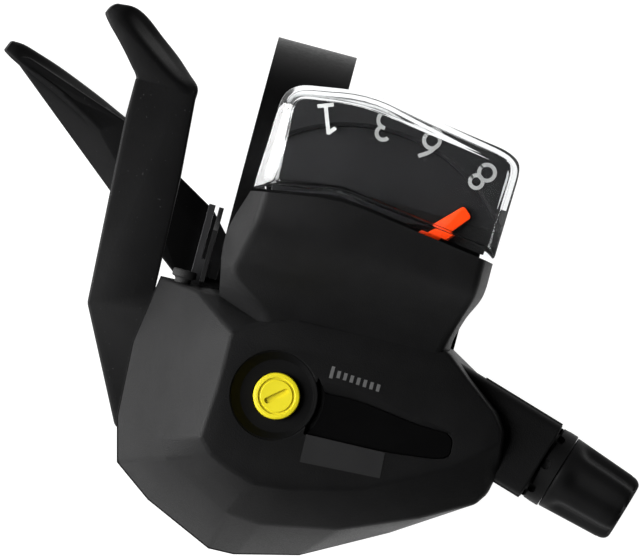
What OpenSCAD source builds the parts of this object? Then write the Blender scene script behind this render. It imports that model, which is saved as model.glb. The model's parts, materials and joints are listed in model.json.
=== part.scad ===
// Right-hand eight-position trigger shifter for a bicycle.
// Origin: the centre of the handlebar clamp's bore. +X runs outboard along the handlebar,
// +Y forward, away from the rider, and +Z out of the pod's top face.

/* [Handlebar clamp] */
// Radius of the clamp's bore
clamp_bore_r = 11.15; // [11.05:0.05:11.25]
// Radial thickness of the clamp band
band_t = 2.45; // [2.2:0.05:2.5]
// Width of the clamp band along the handlebar
band_w = 10; // [9:0.5:10]
// Gap between the pinch ears
ear_gap = 2.5; // [1.5:0.5:3]

/* [Indexing] */
// Number of gears on the dial
gears = 8; // [6:1:8]
// Teeth right round the ratchet wheel
ratchet_teeth = 24; // [24:1:28]
// Radius of the cable groove in the spool
spool_groove_r = 10.2; // [10:0.1:10.3]

/* [Indicator gear train] */
// Gear module of the indicator train
gear_module = 0.6; // [0.56:0.01:0.6]
// Teeth on the spool's drive gear
drive_teeth = 15; // [15:1:15]
// Teeth on the idler gear
idler_teeth = 10; // [10:1:10]
// Teeth right round the needle's gear, of which a sector is cut
needle_teeth = 25; // [25:1:25]

/* [Housing] */
// Wall thickness of the moulded shells
wall = 1.6; // [1.3:0.1:1.7]
// Height of the top face above the handlebar's axis, at the main axle
top_h = 9.5; // [9.3:0.1:9.8]
// Depth of the round recess in the top face
recess_depth = 1.2; // [0.8:0.1:1.3]

/* [Levers] */
// Thickness of the steel-cored lever arms
arm_t = 3; // [2.6:0.1:3]
// Height of the thumb pads
pad_h = 7.5; // [6.5:0.5:7.5]

/* [Barrel adjuster] */
// Radius of the socket for the cable's outer housing
socket_r = 2.55; // [2.5:0.05:2.6]
// Depth of that socket
socket_depth = 7; // [5:0.5:8]

/* [Hidden] */
$fn = 72;
eps = 0.05;

// Colours
black = [0.07, 0.07, 0.075];
dark_grey = [0.16, 0.16, 0.17];
steel = [0.62, 0.63, 0.65];
brass = [0.72, 0.6, 0.32];
white_plastic = [0.85, 0.85, 0.83];

// Main axle, needle pivot and cable line
pivot = [-6.2, 29.3];
needle_pivot = [-11, 14.5];
cable_angle = 163.5;
cable_z = -1;
click = 360 / ratchet_teeth;

// Levels, from the top down
seam_z = -6;
plate_top = -8.2;
plate_t = 1.4;
shell_seam_z = -11.9;
release_z = -15.5;
pull_z = -23;
floor_z = -25.6;
train_z = 2.9;
train_t = 1.4;

// The clamp band and the saddle over it
band_r = clamp_bore_r + band_t;
saddle_r = band_r + 0.4;
saddle_outer_r = 15.2;
bare_saddle_r = clamp_bore_r + 0.45;
saddle_left = 1.6;
saddle_right = -25.9;
band_side = -band_w / 2 - 0.6;
bolt_z = -17;

// The pod's outline at its widest, at the shoulder and on the top face, each in the same order
pod_wide = [
    [11.5, 18.7], [12.8, 27.4], [12.3, 36.8], [10.8, 42.4], [5.9, 45.9], [-2.9, 49.8],
    [-6.1, 49.7], [-14, 47.7], [-24.1, 42.1], [-32.9, 36.3], [-34.4, 34.6], [-35.3, 30.7],
    [-34.8, 26.3], [-33.6, 24.3], [-30.4, 20.7], [-25.6, 18], [-5, 18.2]
];
pod_shoulder = [
    [6.6, 19.3], [6.4, 28], [6.1, 37.9], [5.1, 40.3], [1, 42.4], [-4.1, 44.9],
    [-8.4, 45.2], [-17.9, 43.3], [-27.2, 39.3], [-33.4, 35.9], [-34.5, 34.2], [-35.2, 30.7],
    [-34.7, 26.5], [-33.4, 24.4], [-28.7, 20.9], [-25.5, 18.2], [-5, 18.6]
];
pod_top = [
    [1.2, 23.1], [1.2, 30], [1.6, 36.6], [-0.2, 38.4], [-2.8, 39.5], [-6.2, 40.5],
    [-10.6, 39.9], [-19, 37.7], [-24.7, 34.8], [-29.3, 32.3], [-32, 29.9], [-34.5, 27.7],
    [-34, 25.9], [-32.7, 24.3], [-28.4, 21.1], [-25.3, 18.6], [-6.4, 19.4]
];
shoulder_z = 4;
top_slope = 0.1;
function top_z(x) = top_h + top_slope * (x - pivot.x);
function at_level(points, z) = [for (p = points) [p.x, p.y, z]];
function on_top(points, drop) = [for (p = points) [p.x, p.y, top_z(p.x) - drop]];

// The tail keeps only these corners where the pod is hollow
hollow_corners = [0, 1, 2, 3, 4, 5, 6, 7, 8, 9, 14, 15, 16];
function hollow(points) = [for (i = hollow_corners) points[i]];

// The hood: stations from the window's front edge down to the crease in the top face.
// Each station runs left foot, left edge, ridge, right edge, right foot.
hood_stations = [
    [[3.4, 5.7, 15.4], [1.8, 5.4, 20.2], [-7.6, 3.9, 21.4], [-26.6, 6.5, 19.8], [-27.7, 6.7, 15.2]],
    [[4.8, 10.4, 11.4], [2, 10, 18.6], [-7.3, 9.2, 19.5], [-26.6, 10.8, 17.7], [-27.6, 10.8, 11]],
    [[4.9, 13.6, 8], [2.7, 13.6, 15], [-7, 13.2, 15.6], [-25.8, 13.9, 13.4], [-26.3, 14, 8]],
    [[4.4, 16.4, 6], [2.7, 16.2, 11.9], [-6.8, 16.4, 11.6], [-24.9, 16.8, 9.7], [-25.5, 16.9, 6]],
    [[3.8, 19.3, 4], [-1.7, 19.4, 9.85], [-6.8, 19.5, 9.35], [-24.4, 19.2, 7.6], [-25.4, 18.6, 4]]
];
hood_base_z = -5;

// The window's outline at its base and at the rim of its top, each in the same order
window_ridge_x = -7.3;
window_base = [
    [3.2, 5.3], [window_ridge_x, 3.5], [-27.7, 6.2], [-28, -4.8], [-27.6, -6.3], [-25.8, -7.2],
    [window_ridge_x, -9.8], [0.7, -8.5], [2.1, -7.5], [2.7, -6.1]
];
window_rim = [
    [0.7, 4.1], [window_ridge_x, 2.5], [-26.2, 5], [-26.8, -4.3], [-26.5, -5.1], [-25.4, -5.6],
    [window_ridge_x, -8.2], [-0.2, -7.3], [0.8, -6.8], [1.2, -5.8]
];
window_base_z = 15.9;
window_edge_z = 18.9;
window_peak = 21.6;
window_wall = 1.1;
function window_top(x) = window_peak
    - (x > window_ridge_x ? 0.13 : 0.085) * abs(x - window_ridge_x);
dial_step_r = 20.2;

// Levers, drawn in plan
release_arm = [
    [-9, 23.4], [3.5, 21.5], [11.8, 20.5], [12.3, 6.3], [13.1, -3.4], [21.1, -4.4],
    [20.9, 1], [19.5, 24.3], [12.3, 38.1], [10.9, 38.7], [2, 36.5], [-9, 36.5]
];
release_pad = [
    [13, -3.2], [13.2, -5.2], [15, -7.2], [19.1, -10.6], [22.3, -12.7], [24.3, -12.9],
    [25.7, -12.3], [26.7, -10.5], [25.4, -8.9], [21.1, -4.4], [18.2, -3.8]
];
pull_arm = [
    [-9, 22.4], [-2, 20], [3.4, 13.5], [7.4, 9.1], [12.3, 6.3], [20.9, 0.9], [34.4, -3.6],
    [36.6, -3], [20.5, 10.1], [11.9, 16.6], [10.2, 17.9], [6, 24], [2, 34], [-9, 36.5]
];
pull_pad = [
    [19.8, 1.6], [20.9, 0.9], [26.5, -1.6], [34.4, -4.8], [36.7, -4.8], [37.8, -3.4], [36.2, -1.9],
    [29.3, 3], [24.2, 4.6], [22, 4.4]
];
hub_r = 8;
sleeve_r = 4.4;
axle_r = 2.9;
running = 0.05;

// Ratchet and pawls
ratchet_tip_r = 8.6;
ratchet_root_r = 7.3;
ratchet_z = -6.7;
ratchet_t = 1.9;
holding_pin = [-18.5, 37.9];
release_travel = 18;
release_arm_bearing = 118;
cam_low_r = 8.9;
cam_rise = 1.2;
drive_pin_bearing = 165;
drive_pin_r = 12.6;
pawl_z = -6.7;
pawl_t = 1.4;
pawl_pin_r = 1.2;

// The cable port in the pod's rear wall: its place along X, and its height
port = [8.7, -3.4];

// Cover screws, in plan
screw_places = [[-2.5, 46], [-29.3, 35], [-22, 21]];
screw_r = 1.2;

// Barrel adjuster, along the cable's line from the foot of the pod's axle
boss_start = 21;
boss_end = 32;
counterbore_start = 27.5;
ring_start = 32.4;
knob_start = 34.6;
knob_end = 44.1;
shank_r = 3.5;

// ---------- helpers ----------

// Moves a polygon's edges inwards; the corners run anticlockwise
function inset(points, d) = [
    for (i = [0:len(points) - 1]) let(
        a = points[(i + len(points) - 1) % len(points)],
        b = points[i],
        c = points[(i + 1) % len(points)],
        u = (b - a) / norm(b - a),
        v = (c - b) / norm(c - b))
    b + d * [-u.y - v.y, u.x + v.x] / (1 + u * v)
];

// The same for the window's outlines, with the two corners on its ridge kept there
function inset_window(points, d) = let(q = inset(points, d)) [
    for (i = [0:len(q) - 1]) i == 1 || i == 6 ? [window_ridge_x, q[i].y] : q[i]
];

// A closed solid through rings of points that have the same count
module loft(rings) {
    n = len(rings[0]);
    top = (len(rings) - 1) * n;
    polyhedron(
        [for (ring = rings) each ring],
        concat(
            [[for (i = [0:n - 1]) i]],
            [for (k = [0:len(rings) - 2], i = [0:n - 1])
                [k * n + i, (k + 1) * n + i, (k + 1) * n + (i + 1) % n, k * n + (i + 1) % n]],
            [[for (i = [n - 1:-1:0]) top + i]]));
}

module at_pivot(z = 0) {
    translate([pivot.x, pivot.y, z]) children();
}

module at_bearing(bearing, r, z = 0) {
    at_pivot(z) rotate(bearing) translate([r, 0, 0]) children();
}

// Puts +Z along the cable, outwards, with its zero beside the main axle
module along_cable(start) {
    at_pivot(cable_z) rotate(cable_angle) translate([start, spool_groove_r, 0])
        rotate([0, 90, 0]) children();
}

module ring(outer, inner, h) {
    difference() {
        cylinder(r = outer, h = h);
        translate([0, 0, -1]) cylinder(r = inner, h = h + 2);
    }
}

module hex_head(across_flats, h) {
    cylinder(r = across_flats / sqrt(3), h = h, $fn = 6);
}

// A round wire wound in a helix
module coil(r, wire_r, pitch, turns) {
    steps = 18 * turns;
    sides = 6;
    rings = [
        for (i = [0:steps]) let(a = 360 * turns * i / steps)
        [for (j = [0:sides - 1]) let(b = 360 * j / sides)
            [(r + wire_r * cos(b)) * cos(a), (r + wire_r * cos(b)) * sin(a),
                pitch * a / 360 + wire_r * sin(b)]]
    ];
    loft(rings);
}

// Involute gear outline, with the teeth kept short for free running
function involute_angle(base, r) = let(a = acos(min(1, base / r))) tan(a) * 180 / PI - a;
function gear_points(teeth, first, last) = let(
    r = gear_module * teeth / 2,
    base = r * cos(20),
    tip = r + 0.7 * gear_module,
    root = r - 1.05 * gear_module,
    half = 90 / teeth - 2 + involute_angle(base, r),
    radii = [for (k = [0:3]) max(base, root) + (tip - max(base, root)) * k / 3],
    flank = [for (q = radii) [q, half - involute_angle(base, q)]])
    [for (i = [first:last], p = concat(
            [[root, -half]],
            [for (f = flank) [f[0], -f[1]]],
            [for (k = [3:-1:0]) flank[k]],
            [[root, half]]))
        let(a = i * 360 / teeth + p[1]) p[0] * [cos(a), sin(a)]];

module gear(teeth) {
    polygon(gear_points(teeth, 0, teeth - 1));
}

// ---------- clamp ----------

module clamp_band() {
    ear_y = ear_gap / 2 + 3.4;
    color(black) difference() {
        union() {
            rotate([0, 90, 0]) cylinder(r = band_r, h = band_w, center = true);
            translate([-4, -ear_y, bolt_z - 3.4]) cube([8, 2 * ear_y, 8]);
            translate([-4.6, 8, -13.4]) cube([9.2, 9.2, -plate_t + plate_top + 13.4]);
        }
        rotate([0, 90, 0]) cylinder(r = clamp_bore_r, h = band_w + 2, center = true);
        translate([-6, -ear_gap / 2, bolt_z - 4]) cube([12, ear_gap, 12]);
        translate([0, -9, bolt_z]) rotate([-90, 0, 0]) cylinder(r = 2.1, h = 18);
        for (x = [-2.8, 2.8]) translate([x, 14.2, -13.4 - 1]) cylinder(r = 1.25, h = 6);
    }
}

module clamp_bolt() {
    face = ear_gap / 2 + 3.4;
    color(steel) translate([0, -face, bolt_z]) rotate([90, 0, 0]) difference() {
        union() {
            cylinder(r = 3.2, h = 3);
            translate([0, 0, -2 * face - 2.6]) cylinder(r = 1.95, h = 2 * face + 2.6 + eps);
        }
        translate([0, 0, 1]) hex_head(3, 3);
    }
}

module clamp_nut() {
    face = ear_gap / 2 + 3.4;
    color(steel) translate([0, face, bolt_z]) rotate([-90, 0, 0]) difference() {
        hex_head(6, 2.6);
        translate([0, 0, -1]) cylinder(r = 1.95, h = 5);
    }
}

// ---------- frame ----------

module base_plate() {
    color(black) difference() {
        union() {
            translate([0, 0, plate_top - plate_t]) linear_extrude(plate_t) {
                polygon(inset(pod_wide, wall + 0.3));
                translate([-4.8, 11.3]) square([9.6, 10]);
                translate([5.9, 15.3]) square([2.1, 6]);
            }
            translate([7.2, 8.5, -12.2]) cube([0.8, 7, 12.2 + plate_top]);
            translate([7.2, 14, plate_top - plate_t]) cube([0.8, 3, plate_t]);
        }
        at_pivot(-12) cylinder(r = sleeve_r + running, h = 5);
        for (x = [-2.8, 2.8]) translate([x, 14.2, -12]) cylinder(r = 1.3, h = 6);
        for (p = screw_places) translate([p.x, p.y, -12]) cylinder(r = screw_r + 0.1, h = 6);
        translate([holding_pin.x, holding_pin.y, -12]) cylinder(r = pawl_pin_r + running, h = 6);
    }
}

module bracket_screws() {
    color(steel) for (x = [-2.8, 2.8]) translate([x, 14.2, 0]) {
        translate([0, 0, plate_top]) difference() {
            cylinder(r = 2.1, h = 1.4);
            translate([0, 0, 0.5]) hex_head(2, 2);
        }
        translate([0, 0, -12.8]) cylinder(r = 1.2, h = 12.8 + plate_top + eps);
    }
}

// The saddle over the band and the bare handlebar, with the display's tray on top
module saddle() {
    length = saddle_left - saddle_right;
    difference() {
        union() {
            intersection() {
                translate([saddle_right, 0, 0]) rotate([0, 90, 0])
                    cylinder(r = saddle_outer_r, h = length);
                translate([0, 0, -5.4]) linear_extrude(30) {
                    polygon(inset(window_base, 0.8));
                    translate([saddle_right - 1, 0]) square([length + 2, 30]);
                }
            }
            translate([0, 0, 11]) linear_extrude(window_base_z - 11)
                polygon(inset(window_base, window_wall + 0.2));
        }
        translate([saddle_right - 1, 0, 0]) rotate([0, 90, 0])
            cylinder(r = bare_saddle_r, h = length + 2);
        translate([band_side, 0, 0]) rotate([0, 90, 0])
            cylinder(r = saddle_r, h = 20);
        translate([saddle_right - 2, -20, -20]) cube([length + 4, 20, 20]);
    }
}

module boss_shape(grow) {
    along_cable(boss_start) linear_extrude(boss_end - boss_start)
        offset(delta = 1.4 + grow, chamfer = true) square([7.4, 7.8], center = true);
}

module main_housing() {
    color(black) difference() {
        union() {
            translate([0, 0, shell_seam_z]) linear_extrude(seam_z - shell_seam_z)
                difference() {
                    polygon(pod_wide);
                    polygon(inset(pod_wide, wall));
                }
            translate([0, 0, shell_seam_z])
                linear_extrude(plate_top - plate_t - shell_seam_z) difference() {
                    polygon(pod_wide);
                    polygon(inset(pod_wide, wall + 1));
                }
            for (p = screw_places) translate([p.x, p.y, plate_top])
                cylinder(r = 2.5, h = seam_z - plate_top);
            translate([saddle_right, 14, -6.6]) cube([-saddle_right + 4, 5, 1.5]);
            translate([6.1, 8.6, -7.9]) cube([0.6, 9.5, 6.8]);
            translate([3.5, 17.4, -7.9]) cube([3.2, 2.2, 1.8]);
            saddle();
            boss_shape(0);
        }
        rotate([0, 90, 0]) cylinder(r = bare_saddle_r, h = 40, center = true);
        along_cable(boss_start - 1) cylinder(r = shank_r + running, h = 20);
        along_cable(counterbore_start) cylinder(r = 4.3, h = 9);
        along_cable(counterbore_start) translate([-0.9, -5, 0]) cube([1.8, 10, 9]);
        for (p = screw_places) translate([p.x, p.y, -13]) cylinder(r = screw_r, h = 12);
        translate([needle_pivot.x, needle_pivot.y, -1]) cylinder(r = 1.05, h = 8);
        translate([needle_pivot.x, needle_pivot.y, train_z - 0.3]) cylinder(r = 3, h = 20);
        translate([-20, needle_pivot.y - 0.3, train_z - 0.3]) cube([18, 6, train_t + 0.6]);
        translate([-5.2, 11, plate_top - plate_t - 0.2]) cube([13.6, 9.2, plate_t + 0.3]);
    }
}

module bottom_cover() {
    sweep = [for (b = [-75, -40, -10, 20, 54]) pivot + 60 * [cos(b), sin(b)]];
    color(black) difference() {
        union() {
            translate([0, 0, floor_z]) linear_extrude(1.4) polygon(inset(pod_wide, 1));
            translate([0, 0, floor_z]) linear_extrude(shell_seam_z - floor_z - 0.1)
                difference() {
                    polygon(inset(pod_wide, 0.3));
                    polygon(inset(pod_wide, 0.3 + wall));
                    polygon(concat([pivot], sweep));
                }
            for (p = screw_places) translate([p.x, p.y, floor_z])
                cylinder(r = 2.5, h = shell_seam_z - floor_z - 0.1);
        }
        for (p = screw_places) translate([p.x, p.y, floor_z - 1]) {
            cylinder(r = screw_r + 0.1, h = 20);
            cylinder(r = 2.2, h = 2.6);
        }
        at_pivot(floor_z - 1) cylinder(r = axle_r + running, h = 5);
    }
}

module cover_screws() {
    color(steel) for (p = screw_places) translate([p.x, p.y, floor_z]) {
        difference() {
            translate([0, 0, 0.1]) cylinder(r = 2, h = 1.5);
            hex_head(2, 0.9);
        }
        translate([0, 0, 1.5]) cylinder(r = screw_r - 0.02, h = seam_z - 0.2 - floor_z - 1.5);
    }
}

// ---------- covers and display ----------

// The hood's outer form, or the space inside it when it is dropped, narrowed and led forwards
module hood_solid(drop, narrow, lead = 0) {
    front = [for (p = hood_stations[0]) p - [0, lead, 0]];
    stations = lead > 0 ? concat([front], hood_stations) : hood_stations;
    loft([for (i = [len(stations) - 1:-1:0]) let(s = stations[i], n = len(s) - 1)
        concat(
            [[s[0].x - narrow, s[0].y, hood_base_z]],
            [for (p = s) [p.x + (p.x > -5 ? -narrow : p.x < -10 ? narrow : 0), p.y, p.z - drop]],
            [[s[n].x + narrow, s[n].y, hood_base_z]])]);
}

module tail_pocket(grow, drop, h) {
    pocket = [
        [-10.7, 25.9], [-10.7, 32.9], [-21, 32.5], [-27.6, 31.7], [-28.9, 31],
        [-28.8, 29], [-27.9, 28.3], [-24.3, 28.3], [-16.2, 27.2], [-12, 27.4]
    ];
    translate([pivot.x, 0, top_h]) rotate([0, -atan(top_slope), 0])
        translate([-pivot.x, 0, -drop]) linear_extrude(h) polygon(inset(pocket, -grow));
}

module top_cover() {
    color(black) difference() {
        union() {
            difference() {
                union() {
                    loft([at_level(pod_wide, seam_z), at_level(pod_shoulder, shoulder_z),
                        on_top(pod_top, 0)]);
                    hood_solid(0, 0);
                }
                loft([
                    at_level(inset(hollow(pod_wide), wall), seam_z - 1),
                    at_level(inset(hollow(pod_shoulder), wall), shoulder_z - 1.2),
                    on_top(inset(hollow(pod_top), wall), 2)]);
                translate([0, 0.9, -1]) hood_solid(0.7, 1.6, 8);
                translate([needle_pivot.x, needle_pivot.y, train_z - 0.4])
                    cylinder(r = needle_r + 0.9, h = train_t + 0.8);
                translate([-30, 13.9, -9]) cube([36, 5.3, 4]);
                at_pivot(cable_z - 2.2) cylinder(r = spool_groove_r + 1.5, h = 4.4);
            }
            at_pivot(5.8) cylinder(r = 5, h = 2.6);
            translate([idler_centre.x, idler_centre.y, train_z + train_t + 0.3])
                cylinder(r = 2, h = 3);
        }
        translate([idler_centre.x, idler_centre.y, 0]) cylinder(r = 1, h = train_z + 4.2);
        translate([-40, 0, 0]) rotate([0, 90, 0]) cylinder(r = saddle_outer_r + 0.05, h = 60);
        at_pivot(top_h - recess_depth) cylinder(r1 = 4.7, r2 = 5.7, h = recess_depth + 0.8);
        at_pivot(0) cylinder(r = 1.6, h = 20);
        tail_pocket(0.1, 1.1, 4);
        boss_shape(0.1);
        translate([port.x, 16, port.y]) rotate([-90, 0, 0]) cylinder(r = 1.05, h = 8);
    }
}

module port_plug() {
    color(dark_grey) translate([port.x, 0, port.y]) rotate([-90, 0, 0]) {
        translate([0, 0, 17.2]) cylinder(r = 1.5, h = 1);
        translate([0, 0, 18.2 - eps]) cylinder(r = 1, h = 2.6);
    }
}

// The rear corners of a window outline, with a point well behind them
function behind(points, z) = [
    [points[0].x, points[0].y, z], [points[1].x, points[1].y, z],
    [points[2].x, points[2].y, z], [points[1].x, points[1].y + 9, z]
];

// The window's form, whose rear is folded in at the ridge, or the space inside it
module window_form(inner) {
    base = inner ? inset_window(window_base, window_wall) : window_base;
    rim = inner ? inset_window(window_rim, 0.3) : window_rim;
    base_z = window_base_z - (inner ? 1 : 0);
    edge_z = window_edge_z - (inner ? 0.4 : 0);
    drop = inner ? window_wall : 0;
    difference() {
        hull() {
            translate([0, 0, base_z]) linear_extrude(edge_z - base_z) polygon(base);
            polyhedron([for (p = rim) [p.x, p.y, window_top(p.x) - drop]],
                [[for (i = [0:len(rim) - 1]) i]]);
        }
        translate([0, 0, base_z - 1]) linear_extrude(edge_z - base_z + 1)
            polygon([for (p = behind(base, 0)) [p.x, p.y]]);
        hull() loft([behind(base, edge_z - eps), behind(rim, window_peak - drop + eps)]);
    }
}

module display_window() {
    color([0.9, 0.93, 0.95, 0.35]) difference() {
        window_form(false);
        window_form(true);
        translate([-29, 0, window_base_z - 1]) cube([30, 8, window_edge_z - window_base_z + 1]);
    }
}

module dial_plate() {
    plan = inset(window_base, window_wall + 0.15);
    color(dark_grey) translate([0, 0, window_base_z]) {
        linear_extrude(0.5) difference() {
            polygon(plan);
            translate([-30, 3]) square([40, 10]);
        }
        linear_extrude(2) difference() {
            polygon(plan);
            translate(needle_pivot) circle(r = dial_step_r);
            translate([-30, 2]) square([40, 10]);
        }
    }
}

module axle_cap() {
    color([0.93, 0.83, 0.08]) at_pivot(top_h - recess_depth) difference() {
        cylinder(r = 2.9, h = 1.3);
        translate([0, 0, -1]) cylinder(r = 2.3, h = 1.8);
        translate([0, 0, 1.15]) ring(2.3, 1.9, 1);
    }
}

module trim_insert() {
    color([0.02, 0.02, 0.02]) difference() {
        tail_pocket(0, 1.1, 0.55);
        at_pivot() cylinder(r = 5.9, h = 20);
    }
}

// ---------- axle ----------

module main_axle() {
    color(steel) at_pivot() difference() {
        union() {
            translate([0, 0, floor_z + 0.2]) cylinder(r = axle_r, h = 5.75 - floor_z - 0.2);
            translate([0, 0, floor_z + 1.45]) cylinder(r = 5.5, h = 0.8);
        }
        translate([0, 0, 0]) cylinder(r = 1.25, h = 8);
    }
}

module axle_screw() {
    color(steel) at_pivot() {
        difference() {
            translate([0, 0, top_h - recess_depth]) cylinder(r = 2.2, h = 0.75);
            translate([0, 0, top_h - recess_depth + 0.3]) hex_head(1.5, 2);
        }
        translate([0, 0, 0.5]) cylinder(r = 1.2, h = top_h - recess_depth - 0.5 + eps);
    }
}

module axle_washers() {
    color(brass) at_pivot() {
        translate([0, 0, plate_top - plate_t - 0.4]) ring(7, sleeve_r + running, 0.35);
        translate([0, 0, train_z + train_t + 0.15]) ring(4.6, axle_r + running, 0.3);
        translate([0, 0, pull_z - 0.32]) ring(6.5, axle_r + running, 0.27);
    }
}

module axle_clip() {
    color(steel) at_pivot(train_z + train_t + 0.5) difference() {
        ring(4.4, axle_r, 0.6);
        translate([0, -1.4, -1]) cube([6, 2.8, 3]);
    }
}

// ---------- cable spool and ratchet ----------

module cable_spool() {
    flange_r = spool_groove_r + 0.9;
    color(dark_grey) at_pivot() difference() {
        union() {
            translate([0, 0, cable_z - 1.6]) cylinder(r = flange_r, h = 3.2);
            translate([0, 0, ratchet_z + ratchet_t]) cylinder(r = 8, h = 2.4);
            cylinder(r = 4.2, h = train_z);
        }
        translate([0, 0, cable_z - 0.65]) ring(flange_r + 2, spool_groove_r, 1.3);
        translate([0, 0, -20]) cylinder(r = axle_r + running, h = 40);
        translate([0, 0, cable_z + 0.9]) ring(9.4, 4.6, 3);
        rotate(cable_angle + 60) translate([9.6, 0, cable_z - 2]) cylinder(r = 1.3, h = 2.6);
    }
}

module ratchet_wheel() {
    outline = [for (k = [0:ratchet_teeth - 1], p = [
            [ratchet_root_r, 0], [ratchet_tip_r, 0.8], [ratchet_tip_r - 0.15, 3],
            [ratchet_root_r + 0.1, click - 1.5]])
        let(a = k * click + p[1]) p[0] * [cos(a), sin(a)]];
    color(steel) at_pivot(ratchet_z) linear_extrude(ratchet_t) difference() {
        polygon(outline);
        circle(r = axle_r + running + 0.2);
    }
}

module spool_spring() {
    turns = 4;
    steps = 24 * turns;
    strip = 0.3;
    function spiral(i, side) = let(a = 360 * turns * i / steps)
        (5.1 + 4 * i / steps + side) * [cos(a), sin(a)];
    color(steel) at_pivot(cable_z + 0.95) linear_extrude(1) polygon(concat(
        [for (i = [0:steps]) spiral(i, strip / 2)],
        [for (i = [steps:-1:0]) spiral(i, -strip / 2)]));
}

// ---------- indicator train ----------

drive_r = gear_module * drive_teeth / 2;
idler_r = gear_module * idler_teeth / 2;
needle_r = gear_module * needle_teeth / 2;
play = 0.06;
to_idler = drive_r + idler_r + play;
to_needle = idler_r + needle_r + play;
span = norm(needle_pivot - pivot);
along = (to_idler * to_idler - to_needle * to_needle + span * span) / (2 * span);
across = sqrt(to_idler * to_idler - along * along);
train_dir = (needle_pivot - pivot) / span;
idler_centre = pivot + along * train_dir + across * [train_dir.y, -train_dir.x];
function bearing_to(a, b) = atan2(b.y - a.y, b.x - a.x);
drive_phase = bearing_to(pivot, idler_centre);
idler_phase = drive_phase + 180 + 180 / idler_teeth;
mesh_bearing = bearing_to(idler_centre, needle_pivot);
idler_offset = idler_phase - mesh_bearing;
needle_phase = mesh_bearing + 180 - idler_offset * idler_teeth / needle_teeth
    + 180 / needle_teeth;

module indicator_drive_gear() {
    color(white_plastic) at_pivot(train_z + eps / 2) rotate(drive_phase)
        linear_extrude(train_t) difference() {
            gear(drive_teeth);
            circle(r = axle_r + running);
        }
}

module idler_gear() {
    color(white_plastic) translate([idler_centre.x, idler_centre.y, train_z])
        rotate(idler_phase) difference() {
            linear_extrude(train_t) gear(idler_teeth);
            translate([0, 0, -1]) cylinder(r = 1.05, h = 4);
        }
}

module idler_pin() {
    color(steel) translate([idler_centre.x, idler_centre.y, train_z - 0.6]) {
        cylinder(r = 1.7, h = 0.5);
        cylinder(r = 0.99, h = 4.7);
    }
}

// A sector long enough for the whole sweep, on a hub round the needle's shaft
module needle_gear() {
    sweep = (gears - 1) * click * drive_teeth / needle_teeth;
    pitch = 360 / needle_teeth;
    facing = bearing_to(needle_pivot, idler_centre);
    first = floor((facing - sweep - needle_phase) / pitch - 0.4);
    last = ceil((facing - needle_phase) / pitch + 0.4);
    color(white_plastic) translate([needle_pivot.x, needle_pivot.y, train_z])
        linear_extrude(train_t) difference() {
            union() {
                rotate(needle_phase) polygon(concat([[0, 0]],
                    gear_points(needle_teeth, first, last)));
                circle(r = 2.4);
            }
            circle(r = 1);
        }
}

module needle_shaft() {
    color(steel) translate([needle_pivot.x, needle_pivot.y, -0.9])
        cylinder(r = 1, h = 10);
}

// The pointer: a cranked arm that climbs over the saddle, then a flat blade
module needle() {
    rest_bearing = -132.2;
    blade_z = 16.9;
    side = [
        [-1.8, 7.9], [1.3, 7.9], [4.4, 12.8], [8, 15.4], [11.5, blade_z], [18.6, blade_z],
        [18.6, blade_z + 0.8], [11.2, blade_z + 0.8], [7.5, 16.2], [3.9, 13.8], [0.8, 9.1],
        [-1.8, 9.1]
    ];
    plan = [
        [-1.7, -1], [-1, -1.7], [2, -1.6], [10, -1.45], [16.6, -1.15], [17.9, -0.5],
        [17.9, 0.5], [16.6, 1.15], [10, 1.45], [2, 1.6], [-1, 1.7], [-1.7, 1]
    ];
    color([0.93, 0.22, 0.04])
        translate([needle_pivot.x, needle_pivot.y, 0]) rotate(rest_bearing) difference() {
            intersection() {
                rotate([90, 0, 0]) translate([0, 0, -3]) linear_extrude(6) polygon(side);
                linear_extrude(22) polygon(plan);
            }
            translate([0, 0, 5]) cylinder(r = 1, h = 10);
        }
}

// ---------- levers and pawls ----------

module lever_pad(outline, z) {
    loft([
        at_level(inset(outline, 0.5), z), at_level(outline, z + 0.6),
        at_level(outline, z + pad_h - 0.8), at_level(inset(outline, 0.6), z + pad_h)]);
}

// The cam on the release lever's hub that pushes the holding pawl's arm outwards
module release_cam() {
    rise = [for (u = [0:3:release_travel]) [cam_low_r + cam_rise * u / release_travel,
        release_arm_bearing - u]];
    polygon(concat(
        [for (b = [90:4:130]) 6.9 * [cos(b), sin(b)]],
        [[cam_low_r * cos(130), cam_low_r * sin(130)]],
        [for (p = rise) p[0] * [cos(p[1]), sin(p[1])]],
        [(cam_low_r + cam_rise) * [cos(90), sin(90)]]));
}

module release_lever() {
    pad_z = release_z - 4;
    color(black) difference() {
        union() {
            translate([0, 0, release_z]) linear_extrude(arm_t) polygon(release_arm);
            at_pivot(release_z) cylinder(r = hub_r, h = arm_t);
            at_pivot(pull_z + arm_t + 0.15) cylinder(r = 5.1, h = 9.8);
            lever_pad(release_pad, pad_z);
            at_pivot(release_z + arm_t - eps) linear_extrude(2) release_cam();
        }
        at_pivot(pull_z) cylinder(r = sleeve_r + running, h = 14);
    }
}

module pull_lever() {
    pad_z = pull_z - 4.5;
    color(black) difference() {
        union() {
            translate([0, 0, pull_z]) linear_extrude(arm_t) polygon(pull_arm);
            at_pivot(pull_z) cylinder(r = hub_r, h = arm_t);
            lever_pad(pull_pad, pad_z);
        }
        at_pivot(pull_z - 1) cylinder(r = sleeve_r, h = arm_t + 2);
    }
}

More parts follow.
